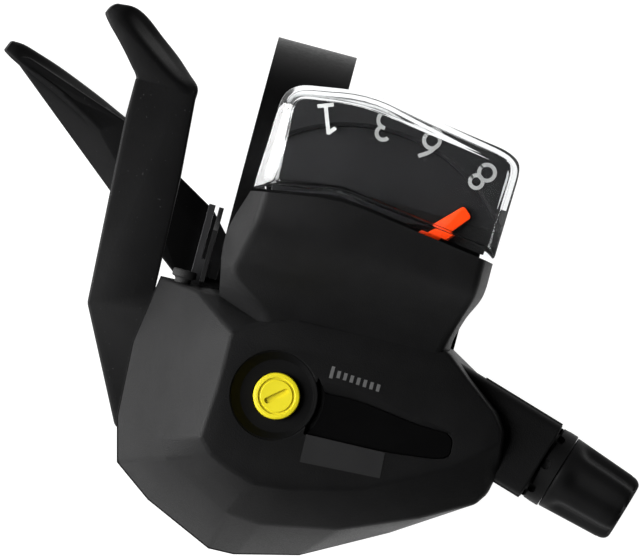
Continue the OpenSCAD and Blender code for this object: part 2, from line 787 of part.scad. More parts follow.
// The sleeve that turns with the pull lever, and carries the drive pawl above the base plate
module pull_sleeve() {
    color(steel) difference() {
        union() {
            at_pivot(pull_z) cylinder(r = sleeve_r, h = plate_top + 0.15 - pull_z);
            at_pivot(plate_top + 0.1) {
                cylinder(r = 6, h = 1);
                rotate(drive_pin_bearing) translate([0, -2.2, 0]) cube([drive_pin_r, 4.4, 1]);
                rotate(drive_pin_bearing) translate([drive_pin_r, 0, 0]) cylinder(r = 2.2, h = 1);
            }
        }
        at_pivot(pull_z - 1) cylinder(r = axle_r + running, h = 30);
        at_bearing(drive_pin_bearing, drive_pin_r, -10) cylinder(r = pawl_pin_r, h = 5);
    }
}

// A flat pawl on its pin, drawn round the pin's centre
module pawl(pin, outline) {
    color(steel) translate([pin.x, pin.y, pawl_z]) difference() {
        union() {
            cylinder(r = 2.1, h = pawl_t);
            linear_extrude(pawl_t) polygon(outline);
        }
        translate([0, 0, -1]) cylinder(r = pawl_pin_r + running, h = 4);
    }
}

function pawl_nose(bearing, pin) = pivot - pin
    + (ratchet_tip_r + 0.45) * [cos(bearing), sin(bearing)];

module holding_pawl() {
    nose = pawl_nose(112, holding_pin);
    pawl(holding_pin, [
        [0.4, 2], [-3.9, -0.2], [-3.6, -1.6], [0.6, -1.9],
        nose - [1, 0.1], nose + [0.2, 0.1], nose + [0.3, 1.3]
    ]);
}

// The shaft that the holding pawl turns on, with its release arm below the base plate
module holding_pawl_shaft() {
    arm_z = plate_top - plate_t - 2.1;
    tip = pivot - holding_pin + 10.4 * [cos(release_arm_bearing), sin(release_arm_bearing)];
    color(steel) translate([holding_pin.x, holding_pin.y, 0]) {
        translate([0, 0, arm_z]) {
            cylinder(r = pawl_pin_r, h = 6.8);
            cylinder(r = 2, h = 1.3);
            translate([tip.x, tip.y, 0]) cylinder(r = 1, h = 1.3);
            linear_extrude(1.3) polygon([[0, -1.9], tip - [0, 1], tip + [0, 1], [0, 1.9]]);
        }
        translate([0, 0, plate_top + 0.1]) cylinder(r = 2, h = pawl_z - plate_top - 0.1);
    }
}

module drive_pawl() {
    pin = pivot + drive_pin_r * [cos(drive_pin_bearing), sin(drive_pin_bearing)];
    nose = pawl_nose(195, pin);
    pawl(pin, [
        [-1.9, -0.6], nose + [-1.2, -0.6], nose + [-0.1, -0.2], nose + [0, 0.8], [1.9, 0.2]
    ]);
}

module drive_pawl_pin() {
    color(steel) at_bearing(drive_pin_bearing, drive_pin_r, plate_top + 0.1) {
        cylinder(r = pawl_pin_r, h = 3.1);
        translate([0, 0, 2.95]) cylinder(r = 1.7, h = 0.4);
    }
}

module pull_lever_spring() {
    color(steel) at_pivot(pull_z + arm_t + 0.8) coil(5.9, 0.45, 1.15, 2);
}

module release_lever_spring() {
    color(steel) at_pivot(release_z + arm_t + 0.6) coil(5.7, 0.35, 0.8, 1.5);
}

module pawl_spring() {
    color(steel) translate([holding_pin.x, holding_pin.y, plate_top + 0.3])
        coil(2.6, 0.2, 0.5, 2);
}

// ---------- barrel adjuster ----------

module detent_ring() {
    color(black) difference() {
        union() {
            along_cable(ring_start) cylinder(r = 5, h = knob_start - ring_start - 0.2);
            along_cable(counterbore_start + 0.5)
                cylinder(r = 4.2, h = ring_start - counterbore_start);
            along_cable(counterbore_start + 0.5) translate([-0.75, -4.8, 0])
                cube([1.5, 9.6, ring_start - counterbore_start]);
        }
        along_cable(counterbore_start - 1) cylinder(r = shank_r + 0.08, h = 12);
        for (b = [0:45:315]) along_cable(ring_start - 0.1) rotate(b)
            translate([5.2, 0, 0]) cylinder(r = 0.65, h = 1, $fn = 16);
    }
}

module barrel_adjuster() {
    length = knob_end - knob_start;
    color(black) difference() {
        union() {
            along_cable(knob_start) intersection() {
                cylinder(r1 = 5.1, r2 = 4.55, h = length);
                linear_extrude(length) difference() {
                    circle(r = 6);
                    for (i = [0:5]) rotate(i * 60) translate([8.3, 0]) circle(r = 3.9);
                }
                translate([0, 0, -6]) cylinder(r1 = length + 6.6, r2 = 3.4, h = length + 6);
            }
            along_cable(counterbore_start - 4.5)
                cylinder(r = shank_r, h = knob_start - counterbore_start + 4.6);
        }
        along_cable(counterbore_start - 6) cylinder(r = 0.9, h = 30);
        along_cable(knob_end - socket_depth) cylinder(r = socket_r, h = socket_depth + 1);
    }
}

clamp_band();
clamp_bolt();
clamp_nut();
base_plate();
bracket_screws();
main_housing();
top_cover();
bottom_cover();
cover_screws();
port_plug();
display_window();
dial_plate();
axle_cap();
trim_insert();
main_axle();
axle_screw();
axle_washers();
axle_clip();
cable_spool();
ratchet_wheel();
indicator_drive_gear();
spool_spring();
idler_gear();
idler_pin();
needle();
needle_shaft();
needle_gear();
pull_lever();
pull_sleeve();
pull_lever_spring();
release_lever();
release_lever_spring();
drive_pawl();
drive_pawl_pin();
holding_pawl();
holding_pawl_shaft();
pawl_spring();
detent_ring();
barrel_adjuster();
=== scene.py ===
"""The looks of a bicycle trigger shifter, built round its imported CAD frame."""

import json
import math

import bmesh
import bpy
from mathutils import Matrix, Vector


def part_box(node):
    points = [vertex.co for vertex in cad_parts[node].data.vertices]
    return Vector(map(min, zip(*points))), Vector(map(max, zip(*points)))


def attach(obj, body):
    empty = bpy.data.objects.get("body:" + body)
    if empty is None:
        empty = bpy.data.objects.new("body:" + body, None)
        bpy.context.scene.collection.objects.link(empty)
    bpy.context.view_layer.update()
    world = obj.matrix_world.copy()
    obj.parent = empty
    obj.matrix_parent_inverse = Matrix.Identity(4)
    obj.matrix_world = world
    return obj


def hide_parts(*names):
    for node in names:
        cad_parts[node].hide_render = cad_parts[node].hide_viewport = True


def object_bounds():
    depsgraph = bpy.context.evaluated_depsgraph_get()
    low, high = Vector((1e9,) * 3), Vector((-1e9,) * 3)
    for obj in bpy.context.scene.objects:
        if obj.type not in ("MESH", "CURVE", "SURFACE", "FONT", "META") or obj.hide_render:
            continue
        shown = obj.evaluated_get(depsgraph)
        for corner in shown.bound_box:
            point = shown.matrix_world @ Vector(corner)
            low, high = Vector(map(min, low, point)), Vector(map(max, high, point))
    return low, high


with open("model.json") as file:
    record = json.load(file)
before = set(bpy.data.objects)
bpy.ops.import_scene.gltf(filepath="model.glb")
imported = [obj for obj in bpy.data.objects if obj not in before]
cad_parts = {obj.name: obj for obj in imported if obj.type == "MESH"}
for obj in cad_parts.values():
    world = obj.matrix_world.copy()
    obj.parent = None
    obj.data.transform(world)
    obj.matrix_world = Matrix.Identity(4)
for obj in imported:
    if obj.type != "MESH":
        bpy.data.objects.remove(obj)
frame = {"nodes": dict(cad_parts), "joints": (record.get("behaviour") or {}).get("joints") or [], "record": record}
cad_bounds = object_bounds()
nodes = frame["nodes"]
scene = bpy.context.scene
MM = 0.001


# ---------- camera, light and floor ----------

def look_down(centre_mm, width_mm, roll_deg, distance):
    """A long lens straight above the pod's top face, which frames width_mm across."""
    data = bpy.data.cameras.new("camera")
    data.sensor_width = 36
    data.lens = data.sensor_width * distance / (width_mm * MM)
    data.clip_end = 100
    camera = bpy.data.objects.new("camera", data)
    scene.collection.objects.link(camera)
    camera.matrix_world = (
        Matrix.Translation((centre_mm[0] * MM, centre_mm[1] * MM, distance))
        @ Matrix.Rotation(math.radians(roll_deg), 4, "Z"))
    scene.camera = camera


def softbox(name, place, size, power):
    """A square area light at place, in metres, aimed at the pod."""
    data = bpy.data.lights.new(name, "AREA")
    data.shape = "SQUARE"
    data.size = size
    data.energy = power
    light = bpy.data.objects.new(name, data)
    scene.collection.objects.link(light)
    aim = Vector((-0.008, 0.02, 0))
    light.location = place
    light.rotation_euler = (aim - Vector(place)).to_track_quat("-Z", "Y").to_euler()


def surround(power, far_side):
    """A studio tent: bright at the horizon on the lamps' side, and dim overhead and behind.

    far_side is its strength away from the lamps, as a share of the power."""
    world = bpy.data.worlds.new("surround")
    scene.world = world
    world.use_nodes = True
    tree = world.node_tree
    direction = tree.nodes.new("ShaderNodeTexCoord")
    split = tree.nodes.new("ShaderNodeSeparateXYZ")
    ramp = tree.nodes.new("ShaderNodeValToRGB")
    # The lamps stand on the side of +X
    side = tree.nodes.new("ShaderNodeMapRange")
    side.inputs["From Min"].default_value = -0.2
    side.inputs["From Max"].default_value = 0.8
    side.inputs["To Min"].default_value = far_side
    strength = tree.nodes.new("ShaderNodeMath")
    strength.operation = "MULTIPLY"
    strength.inputs[1].default_value = power
    tree.links.new(direction.outputs["Generated"], split.inputs[0])
    tree.links.new(split.outputs["Z"], ramp.inputs[0])
    tree.links.new(split.outputs["X"], side.inputs["Value"])
    tree.links.new(side.outputs[0], strength.inputs[0])
    tree.links.new(ramp.outputs[0], tree.nodes["Background"].inputs["Color"])
    tree.links.new(strength.outputs[0], tree.nodes["Background"].inputs["Strength"])
    ramp.color_ramp.interpolation = "EASE"
    ramp.color_ramp.elements[0].position = 0.1
    ramp.color_ramp.elements[0].color = (1, 1, 1, 1)
    ramp.color_ramp.elements[1].position = 0.6
    ramp.color_ramp.elements[1].color = (0.1, 0.1, 0.1, 1)


def floor(level, half_width):
    """A plain pale sheet that glows a little, as paper over a light table does."""
    mesh = bpy.data.meshes.new("floor")
    corners = [(x * half_width, y * half_width, level)
               for x, y in ((-1, -1), (1, -1), (1, 1), (-1, 1))]
    mesh.from_pydata(corners, [], [(0, 1, 2, 3)])
    plane = bpy.data.objects.new("floor", mesh)
    scene.collection.objects.link(plane)
    material = bpy.data.materials.new("floor_paper")
    material.use_nodes = True
    shader = material.node_tree.nodes["Principled BSDF"]
    shader.inputs["Base Color"].default_value = (0.15, 0.15, 0.15, 1)
    shader.inputs["Roughness"].default_value = 0.9
    shader.inputs["Emission Color"].default_value = (1, 1, 1, 1)
    shader.inputs["Emission Strength"].default_value = 1
    mesh.materials.append(material)


look_down(centre_mm=(-7.68, 14.1), width_mm=79.1, roll_deg=195, distance=3)
surround(power=0.6, far_side=0.25)
softbox("side_low", place=(0.6, 0.1, 0.1), size=0.4, power=9)
softbox("key_high", place=(0.42, 0.12, 0.5), size=0.4, power=5)
floor(level=cad_bounds[0].z - 0.5 * MM, half_width=4)
scene.view_settings.view_transform = "Standard"


# ---------- materials ----------

def new_shader(name):
    material = bpy.data.materials.new(name)
    material.use_nodes = True
    tree = material.node_tree
    shader = tree.nodes["Principled BSDF"]
    place = tree.nodes.new("ShaderNodeTexCoord").outputs["Object"]
    return material, tree, shader, place


def noise(tree, place, grain_mm, detail=2.0):
    """Noise whose features are about grain_mm across."""
    node = tree.nodes.new("ShaderNodeTexNoise")
    node.inputs["Scale"].default_value = 1 / (grain_mm * MM)
    node.inputs["Detail"].default_value = detail
    tree.links.new(place, node.inputs["Vector"])
    return node.outputs["Fac"]


def spread(tree, source, low, high, start=0.3, end=0.7):
    """Maps a 0 to 1 value from start..end to low..high."""
    node = tree.nodes.new("ShaderNodeMapRange")
    for name, value in (("From Min", start), ("From Max", end), ("To Min", low), ("To Max", high)):
        node.inputs[name].default_value = value
    tree.links.new(source, node.inputs["Value"])
    return node.outputs["Result"]


def tint(tree, source, dark, light):
    """Mixes two colours by a 0 to 1 value."""
    node = tree.nodes.new("ShaderNodeMix")
    node.data_type = "RGBA"
    node.inputs[6].default_value = (*dark, 1)
    node.inputs[7].default_value = (*light, 1)
    tree.links.new(source, node.inputs[0])
    return node.outputs[2]


def blend(tree, amount, under, over):
    """Lays a colour over a linked one by a 0 to 1 value."""
    node = tree.nodes.new("ShaderNodeMix")
    node.data_type = "RGBA"
    node.inputs[7].default_value = (*over, 1)
    tree.links.new(under, node.inputs[6])
    tree.links.new(amount, node.inputs[0])
    return node.outputs[2]


def bump(tree, shader, height, depth_mm):
    """Roughens a shader's surface by up to depth_mm."""
    node = tree.nodes.new("ShaderNodeBump")
    node.inputs["Strength"].default_value = 1
    node.inputs["Distance"].default_value = depth_mm * MM
    tree.links.new(height, node.inputs["Height"])
    tree.links.new(node.outputs["Normal"], shader.inputs["Normal"])


def moulded(name, color, roughness, grain_mm=0.2, depth_mm=0.02, mottle=0.12, specular=0.3,
            speckle=None):
    """Moulding: fine spark-eroded grain, slightly uneven colour and sheen, pale speckles."""
    material, tree, shader, place = new_shader(name)
    shader.inputs["Specular IOR Level"].default_value = specular
    cloud = noise(tree, place, 4.0, 4.0)
    dark = [c * (1 - mottle) for c in color]
    light = [c * (1 + mottle) for c in color]
    surface = tint(tree, spread(tree, cloud, 0, 1), dark, light)
    if speckle:
        dust = spread(tree, noise(tree, place, 0.35, 1.0), 0, 1, 0.74, 0.8)
        surface = blend(tree, dust, surface, speckle)
    tree.links.new(surface, shader.inputs["Base Color"])
    fine = noise(tree, place, grain_mm, 3.0)
    tree.links.new(spread(tree, fine, roughness - 0.06, roughness + 0.06),
                   shader.inputs["Roughness"])
    bump(tree, shader, fine, depth_mm)
    return material


def metal(name, color, roughness, stretch, stain=None):
    """Plated or rolled metal: drawn-out scratches, uneven sheen and a faint stain."""
    material, tree, shader, place = new_shader(name)
    shader.inputs["Metallic"].default_value = 1
    mapping = tree.nodes.new("ShaderNodeMapping")
    mapping.inputs["Scale"].default_value = stretch
    tree.links.new(place, mapping.inputs["Vector"])
    scratches = noise(tree, mapping.outputs["Vector"], 0.25, 5.0)
    cloud = spread(tree, noise(tree, place, 2.5, 5.0), 0, 0.3)
    surface = tint(tree, cloud, color, stain or [c * 0.6 for c in color])
    tree.links.new(surface, shader.inputs["Base Color"])
    tree.links.new(spread(tree, scratches, roughness - 0.1, roughness + 0.12),
                   shader.inputs["Roughness"])
    bump(tree, shader, scratches, 0.006)
    return material


def clear(name, color):
    """Clear moulding with a faint haze of fine scratches."""
    material, tree, shader, place = new_shader(name)
    shader.inputs["Base Color"].default_value = (*color, 1)
    shader.inputs["Transmission Weight"].default_value = 1
    shader.inputs["IOR"].default_value = 1.49
    scuffs = noise(tree, place, 1.5, 6.0)
    tree.links.new(spread(tree, scuffs, 0.02, 0.09), shader.inputs["Roughness"])
    return material


MATERIALS = {
    "housing_plastic": moulded(
        "housing_plastic", (0.0078, 0.0078, 0.008), 0.45, 0.16, 0.045, specular=0.08),
    "lever_finish": moulded(
        "lever_finish", (0.0055, 0.0055, 0.0057), 0.45, 0.3, 0.015, specular=0.07,
        speckle=(0.03, 0.03, 0.03)),
    "coated_metal": moulded(
        "coated_metal", (0.0025, 0.0025, 0.0026), 0.4, 0.5, 0.01, specular=0.1),
    "gloss_trim": moulded("gloss_trim", (0.003, 0.003, 0.0031), 0.12, 0.8, 0.004, specular=0.4),
    "dial_plastic": moulded(
        "dial_plastic", (0.0085, 0.0085, 0.009), 0.5, 0.12, 0.01, specular=0.12),
    "needle_plastic": moulded(
        "needle_plastic", (0.9, 0.05, 0.002), 0.35, 0.4, 0.006, mottle=0.05, specular=0.15),
    "yellow_plastic": moulded(
        "yellow_plastic", (0.71, 0.61, 0.011), 0.4, 0.25, 0.01, mottle=0.05, specular=0.4),
    "adjuster_plastic": moulded(
        "adjuster_plastic", (0.0095, 0.0095, 0.0097), 0.42, 0.25, 0.02, specular=0.04),
    "white_plastic": moulded("white_plastic", (0.75, 0.75, 0.72), 0.4, 0.3, 0.008, mottle=0.04),
    "inner_plastic": moulded("inner_plastic", (0.05, 0.05, 0.052), 0.5, 0.3, 0.02),
    "soft_rubber": moulded("soft_rubber", (0.012, 0.012, 0.012), 0.7, 0.35, 0.03, specular=0.2),
    "black_plate": metal(
        "black_plate", (0.05, 0.05, 0.052), 0.38, (1, 8, 1), stain=(0.03, 0.03, 0.031)),
    "plate_steel": metal("plate_steel", (0.52, 0.52, 0.54), 0.34, (1, 8, 1)),
    "bolt_steel": metal("bolt_steel", (0.56, 0.56, 0.58), 0.28, (1, 1, 6)),
    "spring_steel": metal(
        "spring_steel", (0.4, 0.4, 0.42), 0.3, (3, 3, 3), stain=(0.2, 0.17, 0.13)),
    "washer_brass": metal(
        "washer_brass", (0.72, 0.52, 0.22), 0.3, (1, 1, 1), stain=(0.4, 0.25, 0.1)),
    "clear_window": clear("clear_window", (0.95, 0.965, 0.97)),
}

# Finishes that share another piece's slot: printed marks, one of them the white print darkened as painted shade,
# and the dish round the cap, darker than the housing as painted shade in the recess, and matt because its wall
# would mirror the cap if it were glossy
PRINT_WHITE = moulded("print_white", (0.47, 0.47, 0.46), 0.5, 0.15, 0.004, mottle=0.05)
# A copy of the white print, darkened as painted shade for the numerals other than 1
PRINT_WHITE_PAINTED_SHADE = moulded("print_white_painted_shade", (0.25, 0.25, 0.245), 0.5, 0.15, 0.004, mottle=0.08)
PRINT_GREY = moulded("print_grey", (0.11, 0.11, 0.11), 0.5, 0.15, 0.004, mottle=0.1)
LABEL_GREY = moulded("label_grey", (0.021, 0.021, 0.0215), 0.38, 0.1, 0.006, mottle=0.1)
# Darker than the housing: painted shade inside the recess round the cap
DISH_PAINTED_SHADE = moulded("dish_painted_shade", (0.005, 0.005, 0.0052), 0.45, 0.3, 0.006, specular=0.08)


# ---------- mesh helpers, in millimetres ----------

def spline(points, steps):
    """A Catmull-Rom curve through the points, with steps spans between each two."""
    ends = [points[0] * 2 - points[1], *points, points[-1] * 2 - points[-2]]
    curve = []
    for a, b, c, d in zip(ends, ends[1:], ends[2:], ends[3:]):
        for k in range(steps):
            t = k / steps
            curve.append(0.5 * (2 * b + (c - a) * t + (2 * a - 5 * b + 4 * c - d) * t ** 2
                                + (3 * b - a - 3 * c + d) * t ** 3))
    return [*curve, points[-1]]


def round_off(points, radius, steps=4, closed=True):
    """Replaces each corner by a curve that starts radius before it. radius may be a list."""
    rounded = []
    last = len(points) - 1
    for i, corner in enumerate(points):
        reach = radius[i] if isinstance(radius, (list, tuple)) else radius
        if reach == 0 or (not closed and i in (0, last)):
            rounded.append(corner)
            continue
        before, after = points[i - 1] - corner, points[(i + 1) % len(points)] - corner
        start = corner + before * min(0.5, reach / before.length)
        end = corner + after * min(0.5, reach / after.length)
        for k in range(steps + 1):
            t = k / steps
            rounded.append(start * (1 - t) ** 2 + corner * 2 * t * (1 - t) + end * t ** 2)
    return rounded


def inset(points, distance):
    """A plan outline, running anticlockwise, with its edges moved inwards."""
    moved = []
    for i, corner in enumerate(points):
        u = (corner - points[i - 1]).normalized()
        v = (points[(i + 1) % len(points)] - corner).normalized()
        normal = Vector((-u.y - v.y, u.x + v.x))
        moved.append(corner + normal * (distance / (1 + u.dot(v))))
    return moved


def flat(points):
    return [Vector(p) for p in points]


def oblong(half_x, half_y):
    return flat([(-half_x, -half_y), (half_x, -half_y), (half_x, half_y), (-half_x, half_y)])


def raised(points, height):
    """Plan points lifted to a height, which may be a function of x and y."""
    level = height if callable(height) else (lambda x, y: height)
    return [Vector((p.x, p.y, level(p.x, p.y))) for p in points]


def skin(bm, rings):
    """Joins closed rings of points, and returns the rings of vertices."""
    rows = [[bm.verts.new(p) for p in ring] for ring in rings]
    for low, high in zip(rows, rows[1:]):
        for i in range(len(low)):
            j = (i + 1) % len(low)
            bm.faces.new((low[i], low[j], high[j], high[i]))
    return rows


def solid(name, rings, bevel=0.0):
    """A closed solid through rings, with its sharp edges rounded."""
    bm = bmesh.new()
    rows = skin(bm, rings)
    bm.faces.new(list(reversed(rows[0])))
    bm.faces.new(rows[-1])
    return finish_mesh(name, bm, bevel)


def is_flat(face):
    normal, start = face.normal, face.verts[0].co
    return all(abs(normal.dot(v.co - start)) < 1e-5 for v in face.verts)


def finish_mesh(name, bm, bevel=0.0):
    """Cleans a mesh, rounds its sharp edges, and splits the faces that aren't flat."""
    bmesh.ops.remove_doubles(bm, verts=bm.verts, dist=0.001)
    bmesh.ops.dissolve_degenerate(bm, edges=bm.edges, dist=0.0005)
    bmesh.ops.recalc_face_normals(bm, faces=bm.faces)
    if bevel:
        sharp = [e for e in bm.edges if len(e.link_faces) == 2
                 and e.calc_face_angle() > math.radians(12)]
        bmesh.ops.bevel(bm, geom=sharp, offset=bevel, segments=3, profile=0.5,
                        affect="EDGES", clamp_overlap=True)
    bmesh.ops.triangulate(bm, faces=[f for f in bm.faces if not is_flat(f)])
    mesh = bpy.data.meshes.new(name)
    bm.to_mesh(mesh)
    bm.free()
    obj = bpy.data.objects.new(name, mesh)
    scene.collection.objects.link(obj)
    return obj


def prism(name, outline, low, high, bevel=0.0):
    return solid(name, [raised(outline, low), raised(outline, high)], bevel)


def lathe(name, profile, centre, around=96):
    """Turns a closed profile of (radius, height) about a vertical axis at centre."""
    bm = bmesh.new()
    columns = []
    for i in range(around):
        a = 2 * math.pi * i / around
        columns.append([Vector((centre[0] + r * math.cos(a), centre[1] + r * math.sin(a), z))
                        for r, z in profile])
    rows = [[bm.verts.new(p) for p in column] for column in columns]
    for i, row in enumerate(rows):
        after = rows[(i + 1) % around]
        for k in range(len(profile)):
            m = (k + 1) % len(profile)
            if profile[k][0] == profile[m][0] == 0:
                continue
            bm.faces.new((row[k], after[k], after[m], row[m]))
    return finish_mesh(name, bm)


def combine(target, other, operation):
    """Joins or cuts the target mesh with another, which is then removed."""
    modifier = target.modifiers.new("combine", "BOOLEAN")
    modifier.operation = operation
    modifier.solver = "EXACT"
    modifier.object = other
    result = bpy.data.meshes.new_from_object(
        target.evaluated_get(bpy.context.evaluated_depsgraph_get()))
    target.modifiers.clear()
    spent = target.data
    target.data = result
    bpy.data.meshes.remove(spent)
    bpy.data.objects.remove(other)
    return target


def place(obj, slot, body, *stands_for, edge_deg=32, finish=None):
    """Scales a piece from millimetres to metres, shades it, and puts it on its body."""
    mesh = obj.data
    mesh.transform(Matrix.Scale(MM, 4))
    mesh.materials.clear()
    mesh.materials.append(finish or MATERIALS[slot])
    mesh.polygons.foreach_set("use_smooth", [True] * len(mesh.polygons))
    mesh.set_sharp_from_angle(angle=math.radians(edge_deg))
    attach(obj, body)
    if stands_for:
        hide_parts(*stands_for)
    return obj


# ---------- places, in millimetres, from the frame ----------

def box_mm(node):
    low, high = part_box(node)
    return low / MM, high / MM


def middle(node):
    low, high = box_mm(node)
    return (low + high) / 2


PIVOT = middle("main_axle")
NEEDLE_PIVOT = middle("needle_shaft")
CAP_LOW, CAP_HIGH = box_mm("axle_cap")
TOP = CAP_LOW.z + 1.2
SLOPE = 0.1


def top_face(x, y):
    """Height of the pod's sloping top face."""
    return TOP + SLOPE * (x - PIVOT.x)


# ---------- top cover ----------

POD_WIDE = flat([
    (11.5, 18.7), (12.8, 27.4), (12.3, 36.8), (10.8, 42.4), (5.9, 45.9), (-2.9, 49.8),
    (-6.1, 49.7), (-14, 47.7), (-24.1, 42.1), (-32.9, 36.3), (-34.4, 34.6), (-35.3, 30.7),
    (-34.8, 26.3), (-33.6, 24.3), (-30.4, 20.7), (-25.6, 18), (-5, 18.2)])
POD_SHOULDER = flat([
    (6.6, 19.3), (6.4, 28), (6.1, 37.9), (5.1, 40.3), (1, 42.4), (-4.1, 44.9),
    (-8.4, 45.2), (-17.9, 43.3), (-27.2, 39.3), (-33.4, 35.9), (-34.5, 34.2), (-35.2, 30.7),
    (-34.7, 26.5), (-33.4, 24.4), (-28.7, 20.9), (-25.5, 18.2), (-5, 18.6)])
POD_TOP = flat([
    (1.2, 23.1), (1.2, 30), (1.6, 36.6), (-0.2, 38.4), (-2.8, 39.5), (-6.2, 40.5),
    (-10.6, 39.9), (-19, 37.7), (-24.7, 34.8), (-29.3, 32.3), (-32, 29.9), (-34.5, 27.7),
    (-34, 25.9), (-32.7, 24.3), (-28.4, 21.1), (-25.3, 18.6), (-6.4, 19.4)])
SEAM = -6
SHOULDER = 4
# The hollow under the cover leaves out the corners in front of the cable
HOLLOW_CORNERS = (0, 1, 2, 3, 4, 5, 6, 7, 8, 9, 14, 15, 16)
COVER_WALL = 1.6
# The hood's underside is a saddle over the clamp band
SADDLE_R = 15.25

# Rails of the hood from the window down to the crease: feet, top edges and ridge
HOOD_RAILS = {
    "left_foot": [(3.4, 5.7, 15.4), (4.8, 10.4, 11.4), (4.9, 13.6, 8), (4.4, 16.4, 6),
                  (3.8, 19.3, 4), (3, 21.6, 2)],
    "left_edge": [(1.8, 5.4, 20.2), (2, 10, 18.6), (2.7, 13.6, 15), (2.7, 16.2, 11.9),
                  (-1.7, 19.4, 9.85), (-3, 21.6, 8.4)],
    "ridge": [(-7.6, 3.9, 21.4), (-7.3, 9.2, 19.5), (-7, 13.2, 15.6), (-6.8, 16.4, 11.6),
              (-6.8, 19.5, 9.35), (-6.8, 21.6, 8)],
    "right_edge": [(-26.6, 6.5, 19.8), (-26.6, 10.8, 17.7), (-25.8, 13.9, 13.4),
                   (-24.9, 16.8, 9.7), (-24.4, 19.2, 7.6), (-24, 21.6, 6.2)],
    "right_foot": [(-27.7, 6.7, 15.2), (-27.6, 10.8, 11), (-26.3, 14, 8), (-25.5, 16.9, 6),
                   (-25.4, 18.6, 4), (-25, 20.6, 2)],
}
HOOD_FLOOR = -5

TAIL_POCKET = flat([
    (-10.7, 25.9), (-10.7, 32.9), (-21, 32.5), (-27.6, 31.7), (-28.9, 31),
    (-28.8, 29), (-27.9, 28.3), (-24.3, 28.3), (-16.2, 27.2), (-12, 27.4)])


def hood_form(drop=0.0, narrow=0.0, lead=0.0, floor_z=HOOD_FLOOR):
    """The hood as a solid, or the space inside it when it is dropped, narrowed and led out."""
    rails = [spline(flat(rail), 7) for rail in HOOD_RAILS.values()]
    rings = []
    for left_foot, left, ridge, right, right_foot in zip(*rails):
        left_foot, left = (p - Vector((narrow, 0, 0)) for p in (left_foot, left))
        right, right_foot = (p + Vector((narrow, 0, 0)) for p in (right, right_foot))
        over = [p - Vector((0, 0, drop)) for p in (left_foot, left, ridge, right, right_foot)]
        over = round_off(over, [0, 0.9, 3.5, 0.9, 0], 4, closed=False)
        feet = [Vector((p.x, p.y, floor_z)) for p in (right_foot, left_foot)]
        rings.append([*over, *feet])
    if lead:
        rings.insert(0, [p - Vector((0, lead, 0)) for p in rings[0]])
    return solid("hood", rings)


def top_cover():
    """The pod and hood as one hollow shell, with the recess, the pocket and the boss's hole."""
    cover = solid("top_cover_shell", [
        raised(POD_WIDE, SEAM), raised(POD_SHOULDER, SHOULDER), raised(POD_TOP, top_face)],
        bevel=0.45)
    combine(cover, hood_form(), "UNION")
    hollow = [[points[i] for i in HOLLOW_CORNERS] for points in (POD_WIDE, POD_SHOULDER, POD_TOP)]
    hollow = [inset(points, COVER_WALL) for points in hollow]
    combine(cover, solid("space", [
        raised(hollow[0], SEAM - 1), raised(hollow[1], SHOULDER - 1.2),
        raised(hollow[2], lambda x, y: top_face(x, y) - 2)]), "DIFFERENCE")
    inner_hood = hood_form(drop=1.7, narrow=COVER_WALL, lead=8, floor_z=SEAM - 3)
    inner_hood.data.transform(Matrix.Translation((0, -0.6, 0)))
    combine(cover, inner_hood, "DIFFERENCE")
    rod = lathe("rod", [(0, -60), (SADDLE_R, -60), (SADDLE_R, 60), (0, 60)], (0, 0))
    rod.data.transform(Matrix.Rotation(math.radians(90), 4, "Y"))
    combine(cover, rod, "DIFFERENCE")
    floor_z = CAP_LOW.z
    combine(cover, lathe("recess", [
        (0, floor_z), (4.55, floor_z), (4.75, floor_z + 0.12), (5.55, floor_z + 1.1),
        (5.75, floor_z + 1.5), (5.95, floor_z + 2.4), (5.95, floor_z + 4), (0, floor_z + 4)],
        PIVOT), "DIFFERENCE")
    combine(cover, pocket_form("pocket", grow=0.08, drop=1.1, height=4), "DIFFERENCE")
    combine(cover, pocket_bevel(), "DIFFERENCE")
    combine(cover, boss_form(grow=0.1), "DIFFERENCE")
    return place(cover, "housing_plastic", "housing", "top_cover")


def tilt_to_top(obj):
    """Lays a form drawn flat on the pod's top face."""
    pivot = Vector((PIVOT.x, 0, TOP))
    obj.data.transform(
        Matrix.Translation(pivot) @ Matrix.Rotation(-math.atan(SLOPE), 4, "Y")
        @ Matrix.Translation(-Vector((PIVOT.x, 0, 0))))
    return obj


def pocket_form(name, grow, drop, height, bevel=0.0):
    """The tapered pocket in the pod's tail, or the insert that fills it."""
    outline = round_off(inset(TAIL_POCKET, -grow), [0, 0, 2, 2, 0.6, 0.6, 0.3, 2, 2, 0.3])
    return tilt_to_top(prism(name, outline, -drop, height - drop, bevel))


def pocket_bevel():
    """The sloping face along the pocket's front side."""
    front = flat([(-9, 27.5), (-12, 27.5), (-16.2, 27.3), (-24.3, 28.4), (-27.9, 28.4)])
    back = flat([(-9, 25.4), (-12, 25.9), (-16.2, 25.9), (-24.3, 27.3), (-28.6, 28)])
    low = [*raised(front, -0.9), *raised(reversed(front), -0.8)]
    high = [*raised(back, 0.12), *raised(reversed(front), 0.3)]
    return tilt_to_top(solid("pocket_bevel", [low, high]))


# ---------- cable boss and adjuster ----------

KNOB_JOINT = next(j for j in frame["joints"] if j["name"] == "adjuster_turn")
CABLE = Vector(KNOB_JOINT["axis"])
# The point of the cable's line that is nearest to the main axle
CABLE_FOOT = Vector(KNOB_JOINT["pos_m"]) / MM
CABLE_FOOT -= CABLE * (CABLE_FOOT - PIVOT).dot(CABLE)
BOSS_HALF_W, BOSS_HALF_H = 5.1, 5.3
BOSS_START, BOSS_END = 16.5, 32.1
KEY_W, KEY_REACH = 0.75, 4.8


def along_cable(obj, start):
    """Stands a form drawn about the Z axis along the cable, start millimetres out."""
    across = Vector((0, 0, 1)).cross(CABLE)
    turn = Matrix((Vector((0, 0, -1)), across, CABLE)).transposed().to_4x4()
    obj.data.transform(Matrix.Translation(CABLE_FOOT + CABLE * start) @ turn)
    return obj


